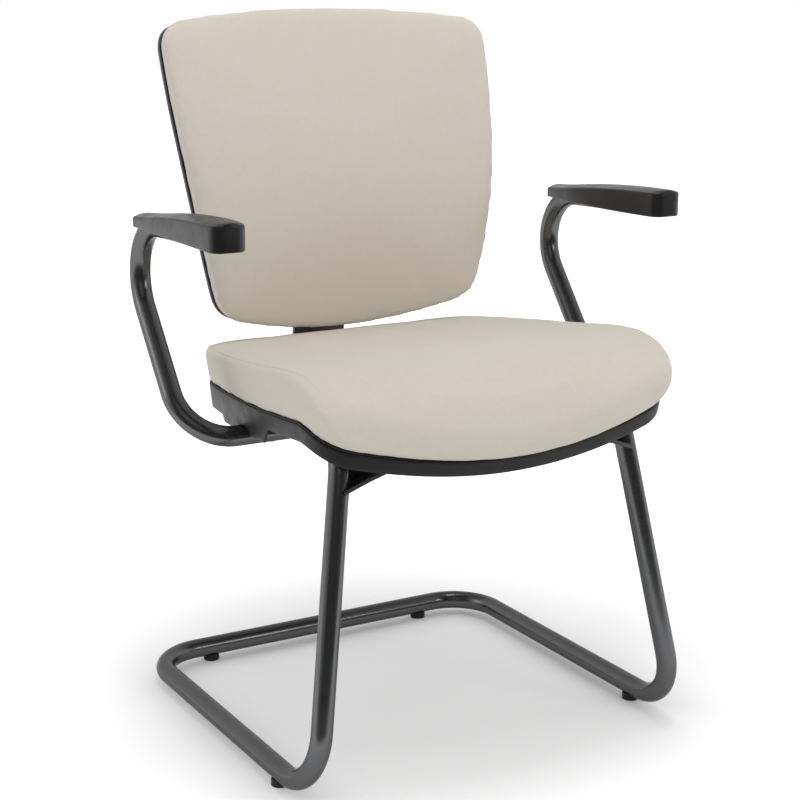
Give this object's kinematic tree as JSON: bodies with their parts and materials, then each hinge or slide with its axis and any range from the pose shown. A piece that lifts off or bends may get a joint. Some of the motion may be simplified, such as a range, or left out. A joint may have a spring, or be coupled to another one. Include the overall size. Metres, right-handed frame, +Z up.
{
  "type": "sled base visitor chair",
  "caption": "Visitor chair with an upholstered seat and bowed back on a bent steel tube sled frame, with tube arms and plastic arm pads.",
  "frame": {"origin": "middle of the chair's footprint, on the floor", "axes": "+Z up, -Y the way the chair faces, +X to the right as seen from in front of it"},
  "size_m": [0.6316, 0.531, 0.868],
  "materials": {
    "frame_paint": "satin powder coat",
    "black_plastic": "fine grained",
    "pad_plastic": "soft touch, matte",
    "shell_plastic": "fine grained",
    "fabric": "smooth woven cover over foam",
    "plywood": "raw birch plywood",
    "zinc_steel": "zinc plated"
  },
  "bodies": {
    "root": {"seat_board": "plywood", "seat_cushion": "fabric", "seat_pan": "black_plastic", "sled_tube": "frame_paint", "glide_rear_left": "black_plastic", "glide_screw_rear_left": "zinc_steel", "glide_front_left": "black_plastic", "glide_screw_front_left": "zinc_steel", "glide_rear_right": "black_plastic", "glide_screw_rear_right": "zinc_steel", "glide_front_right": "black_plastic", "glide_screw_front_right": "zinc_steel", "rail_plug_left": "black_plastic", "rail_plug_right": "black_plastic", "arm_tube_left": "frame_paint", "arm_bolt_left": "zinc_steel", "arm_foot_plug_left": "black_plastic", "arm_tip_plug_left": "black_plastic", "pad_screw_left_1": "zinc_steel", "pad_screw_left_2": "zinc_steel", "arm_pad_left": "pad_plastic", "arm_tube_right": "frame_paint", "arm_bolt_right": "zinc_steel", "arm_foot_plug_right": "black_plastic", "arm_tip_plug_right": "black_plastic", "pad_screw_right_1": "zinc_steel", "pad_screw_right_2": "zinc_steel", "arm_pad_right": "pad_plastic", "back_spine": "frame_paint", "front_cross_plate": "frame_paint", "spine_bolt_1": "zinc_steel", "rear_cross_plate": "frame_paint", "spine_bolt_2": "zinc_steel", "leg_arch_bar": "frame_paint", "seat_bolt_1": "zinc_steel", "seat_tee_nut_1": "zinc_steel", "seat_bolt_2": "zinc_steel", "seat_tee_nut_2": "zinc_steel", "seat_bolt_3": "zinc_steel", "seat_tee_nut_3": "zinc_steel", "seat_bolt_4": "zinc_steel", "seat_tee_nut_4": "zinc_steel", "back_bracket": "black_plastic", "back_bolt_1": "zinc_steel", "back_bolt_2": "zinc_steel", "back_bolt_3": "zinc_steel", "back_bolt_4": "zinc_steel", "back_shell": "shell_plastic", "back_board": "plywood", "back_cushion": "fabric"}
  },
  "joints": []
}
